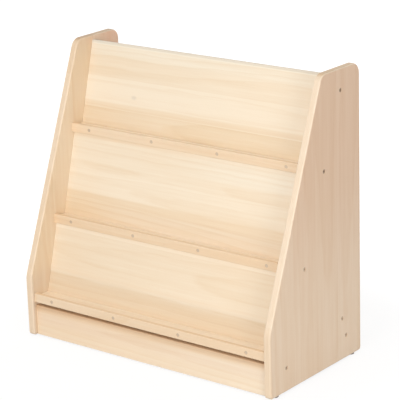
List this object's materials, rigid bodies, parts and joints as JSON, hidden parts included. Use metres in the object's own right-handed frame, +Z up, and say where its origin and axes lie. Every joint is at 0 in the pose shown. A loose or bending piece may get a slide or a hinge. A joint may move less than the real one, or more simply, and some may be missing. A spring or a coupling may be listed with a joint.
{
  "type": "double-sided bookcase",
  "caption": "Free-standing pine bookcase: leaning display boards with ledges and lips on the slanted front, and upright shallow bays with ledges and lips on the rear.",
  "frame": {"origin": "on the floor under the middle of the case", "axes": "+X to the right seen from the tiered front, -Y out of the tiered front, +Z up"},
  "size_m": [0.8, 0.4, 0.77],
  "materials": {
    "pine_side": "clear satin lacquer",
    "pine_board": "clear satin lacquer",
    "pine_strip": "clear satin lacquer",
    "zinc_screw": "zinc plated",
    "connector_steel": "nickel plated",
    "glide_plastic": "moulded"
  },
  "bodies": {
    "root": {"back_panel": "pine_board", "base_board": "pine_board", "base_rear_lip": "pine_strip", "base_rear_lip_screw_1": "zinc_screw", "base_rear_lip_screw_2": "zinc_screw", "base_rear_lip_screw_3": "zinc_screw", "base_rear_lip_screw_4": "zinc_screw", "front_kick_board": "pine_board", "left_back_foot_connector": "connector_steel", "left_back_top_connector": "connector_steel", "left_base_front_connector": "connector_steel", "left_base_rear_connector": "connector_steel", "left_front_glide": "glide_plastic", "left_middle_board_connector": "connector_steel", "left_rear_glide": "glide_plastic", "left_side_panel": "pine_side", "left_upper_board_connector": "connector_steel", "lower_display_board": "pine_board", "lower_front_ledge": "pine_strip", "lower_front_lip": "pine_strip", "lower_front_lip_screw_1": "zinc_screw", "lower_front_lip_screw_2": "zinc_screw", "lower_front_lip_screw_3": "zinc_screw", "lower_front_lip_screw_4": "zinc_screw", "lower_rear_ledge": "pine_strip", "lower_rear_lip": "pine_strip", "lower_rear_lip_screw_1": "zinc_screw", "lower_rear_lip_screw_2": "zinc_screw", "lower_rear_lip_screw_3": "zinc_screw", "lower_rear_lip_screw_4": "zinc_screw", "middle_display_board": "pine_board", "middle_front_ledge": "pine_strip", "middle_front_lip": "pine_strip", "middle_front_lip_screw_1": "zinc_screw", "middle_front_lip_screw_2": "zinc_screw", "middle_front_lip_screw_3": "zinc_screw", "middle_front_lip_screw_4": "zinc_screw", "rear_rail": "pine_board", "right_back_foot_connector": "connector_steel", "right_back_top_connector": "connector_steel", "right_base_front_connector": "connector_steel", "right_base_rear_connector": "connector_steel", "right_front_glide": "glide_plastic", "right_middle_board_connector": "connector_steel", "right_rear_glide": "glide_plastic", "right_side_panel": "pine_side", "right_upper_board_connector": "connector_steel", "upper_display_board": "pine_board", "upper_front_ledge": "pine_strip", "upper_front_lip": "pine_strip", "upper_front_lip_screw_1": "zinc_screw", "upper_front_lip_screw_2": "zinc_screw", "upper_front_lip_screw_3": "zinc_screw", "upper_front_lip_screw_4": "zinc_screw", "upper_rear_ledge": "pine_strip", "upper_rear_lip": "pine_strip", "upper_rear_lip_screw_1": "zinc_screw", "upper_rear_lip_screw_2": "zinc_screw", "upper_rear_lip_screw_3": "zinc_screw", "upper_rear_lip_screw_4": "zinc_screw"}
  },
  "joints": []
}
